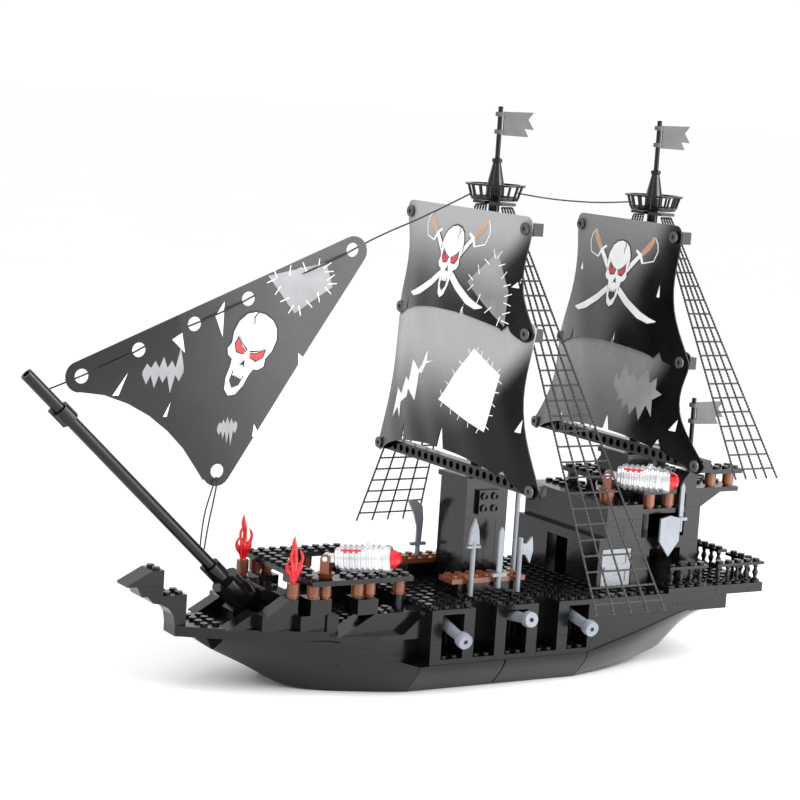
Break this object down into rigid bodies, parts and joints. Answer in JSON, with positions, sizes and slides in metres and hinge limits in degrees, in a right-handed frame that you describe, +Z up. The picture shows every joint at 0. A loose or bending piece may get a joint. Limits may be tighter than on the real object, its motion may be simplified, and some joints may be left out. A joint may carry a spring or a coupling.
{
  "type": "model sailing ship",
  "caption": "Brick-built toy pirate ship with two square-rigged masts, a jib on a bowsprit, shroud nets, gun ports with tilting cannons and a raised stern.",
  "frame": {"origin": "centre of the bounding box without the cords, at the flat bottom of the hull", "axes": "+X towards the bow, +Y to port, +Z up along the masts"},
  "size_m": [0.5218, 0.2954, 0.3672],
  "materials": {
    "black_brick": "injection-moulded ABS, high gloss, black",
    "brown_brick": "injection-moulded ABS, gloss, reddish brown",
    "light_grey_plastic": "injection-moulded ABS, satin, light bluish grey",
    "clear_red_plastic": "clear polycarbonate tinted red",
    "silver_plastic": "metallised silver plastic, gloss",
    "flag_grey": "flexible grey plastic",
    "sail_sheet": "printed plastic film, gloss, black with grey and white print",
    "stay_cord": "black braided cord",
    "door_grey": "translucent grey plastic"
  },
  "bodies": {
    "ship": {"balcony_floor": "black_brick", "balustrade": "black_brick", "bench_planks": "brown_brick", "bow_bulwarks": "black_brick", "bow_deck": "black_brick", "bowsprit": "black_brick", "bowsprit_socket": "black_brick", "cabin_upper_walls": "black_brick", "cabin_walls": "black_brick", "crows_nests": "black_brick", "deck_benches": "black_brick", "figurehead": "black_brick", "flames": "clear_red_plastic", "fore_mast_base": "black_brick", "forestay": "stay_cord", "fort_frame": "black_brick", "gun_carriages": "black_brick", "gun_deck_plates": "black_brick", "gun_deck_walls": "black_brick", "gun_port_frames": "black_brick", "hull_bow": "black_brick", "hull_mid_sections": "black_brick", "hull_stern": "black_brick", "jib": "sail_sheet", "jib_sheet_port": "stay_cord", "jib_sheet_starboard": "stay_cord", "main_deck": "black_brick", "main_mast_base": "black_brick", "mast_poles": "black_brick", "mast_stay": "stay_cord", "poop_deck": "black_brick", "round_bricks": "brown_brick", "shroud_nets_fore": "black_brick", "shroud_nets_main": "black_brick", "stem_bricks": "black_brick", "stern_side_walls": "black_brick", "topmasts": "black_brick", "weapons_and_shield": "light_grey_plastic"},
    "fore_rig": {"fore_yards": "black_brick", "fore_topsail": "sail_sheet", "fore_course": "sail_sheet", "fore_sail_pins": "light_grey_plastic"},
    "main_rig": {"main_yards": "black_brick", "main_topsail": "sail_sheet", "main_course": "sail_sheet", "main_sail_pins": "light_grey_plastic"},
    "fore_gun_swivel": {"fore_gun_base": "brown_brick"},
    "fore_gun_barrel": {"fore_gun": "silver_plastic"},
    "aft_gun_swivel": {"aft_gun_base": "brown_brick"},
    "aft_gun_barrel": {"aft_gun": "silver_plastic"},
    "fore_pennant": {"fore_flag": "flag_grey"},
    "main_pennant": {"main_flag": "flag_grey"},
    "stern_pennant": {"stern_flag": "flag_grey"},
    "door_leaf": {"cabin_door": "door_grey"},
    "cannon_port_1_barrel": {"cannon_port_1": "light_grey_plastic"},
    "cannon_port_2_barrel": {"cannon_port_2": "light_grey_plastic"},
    "cannon_port_3_barrel": {"cannon_port_3": "light_grey_plastic"},
    "cannon_starboard_1_barrel": {"cannon_starboard_1": "light_grey_plastic"},
    "cannon_starboard_2_barrel": {"cannon_starboard_2": "light_grey_plastic"},
    "cannon_starboard_3_barrel": {"cannon_starboard_3": "light_grey_plastic"}
  },
  "joints": [
    {"name": "cannon_port_1_elevation", "type": "hinge", "parent": "ship", "child": "cannon_port_1_barrel", "pos_m": [-0.00733, 0.0432, 0.0448], "axis": [1, 0, 0], "range_deg": [-3, 18.5]},
    {"name": "cannon_port_2_elevation", "type": "hinge", "parent": "ship", "child": "cannon_port_2_barrel", "pos_m": [-0.05533, 0.0432, 0.0448], "axis": [1, 0, 0], "range_deg": [-20.5, 1]},
    {"name": "cannon_port_3_elevation", "type": "hinge", "parent": "ship", "child": "cannon_port_3_barrel", "pos_m": [-0.10333, 0.0432, 0.0448], "axis": [1, 0, 0], "range_deg": [-5.5, 16]},
    {"name": "cannon_starboard_1_elevation", "type": "hinge", "parent": "ship", "child": "cannon_starboard_1_barrel", "pos_m": [-0.00733, -0.0432, 0.0448], "axis": [-1, 0, 0], "range_deg": [-3, 18.5]},
    {"name": "cannon_starboard_2_elevation", "type": "hinge", "parent": "ship", "child": "cannon_starboard_2_barrel", "pos_m": [-0.05533, -0.0432, 0.0448], "axis": [-1, 0, 0], "range_deg": [-20.5, 1]},
    {"name": "cannon_starboard_3_elevation", "type": "hinge", "parent": "ship", "child": "cannon_starboard_3_barrel", "pos_m": [-0.10333, -0.0432, 0.0448], "axis": [-1, 0, 0], "range_deg": [-5.5, 16]},
    {"name": "fore_rig_swing", "type": "hinge", "parent": "ship", "child": "fore_rig", "pos_m": [-0.05773, 0, 0.16], "axis": [0, 0, 1], "range_deg": [-5, 5]},
    {"name": "main_rig_swing", "type": "hinge", "parent": "ship", "child": "main_rig", "pos_m": [-0.18573, 0, 0.16], "axis": [0, 0, 1], "range_deg": [-5, 5]},
    {"name": "fore_gun_swing", "type": "hinge", "parent": "ship", "child": "fore_gun_swivel", "pos_m": [0.07187, 0.0376, 0.0736], "axis": [0, 0, 1], "range_deg": [-40, 82]},
    {"name": "fore_gun_elevation", "type": "hinge", "parent": "fore_gun_swivel", "child": "fore_gun_barrel", "pos_m": [0.07187, 0.0376, 0.086], "axis": [0.6691, 0.7431, 0], "range_deg": [-5, 30]},
    {"name": "aft_gun_swing", "type": "hinge", "parent": "ship", "child": "aft_gun_swivel", "pos_m": [-0.13853, 0.0368, 0.112], "axis": [0, 0, 1], "range_deg": [-35, 50]},
    {"name": "aft_gun_elevation", "type": "hinge", "parent": "aft_gun_swivel", "child": "aft_gun_barrel", "pos_m": [-0.13853, 0.0368, 0.1308], "axis": [0.6691, 0.7431, 0], "range_deg": [0, 2.2]},
    {"name": "fore_flag_turn", "type": "hinge", "parent": "ship", "child": "fore_pennant", "pos_m": [-0.05773, 0, 0.36], "axis": [0, 0, 1], "continuous": true},
    {"name": "main_flag_turn", "type": "hinge", "parent": "ship", "child": "main_pennant", "pos_m": [-0.18573, 0, 0.3568], "axis": [0, 0, 1], "continuous": true},
    {"name": "stern_flag_turn", "type": "hinge", "parent": "ship", "child": "stern_pennant", "pos_m": [-0.23453, 0, 0.168], "axis": [0, 0, 1], "continuous": true},
    {"name": "cabin_door_swing", "type": "hinge", "parent": "ship", "child": "door_leaf", "pos_m": [-0.15405, 0.0476, 0.0704], "axis": [0, 0, 1], "range_deg": [0, 80]}
  ]
}
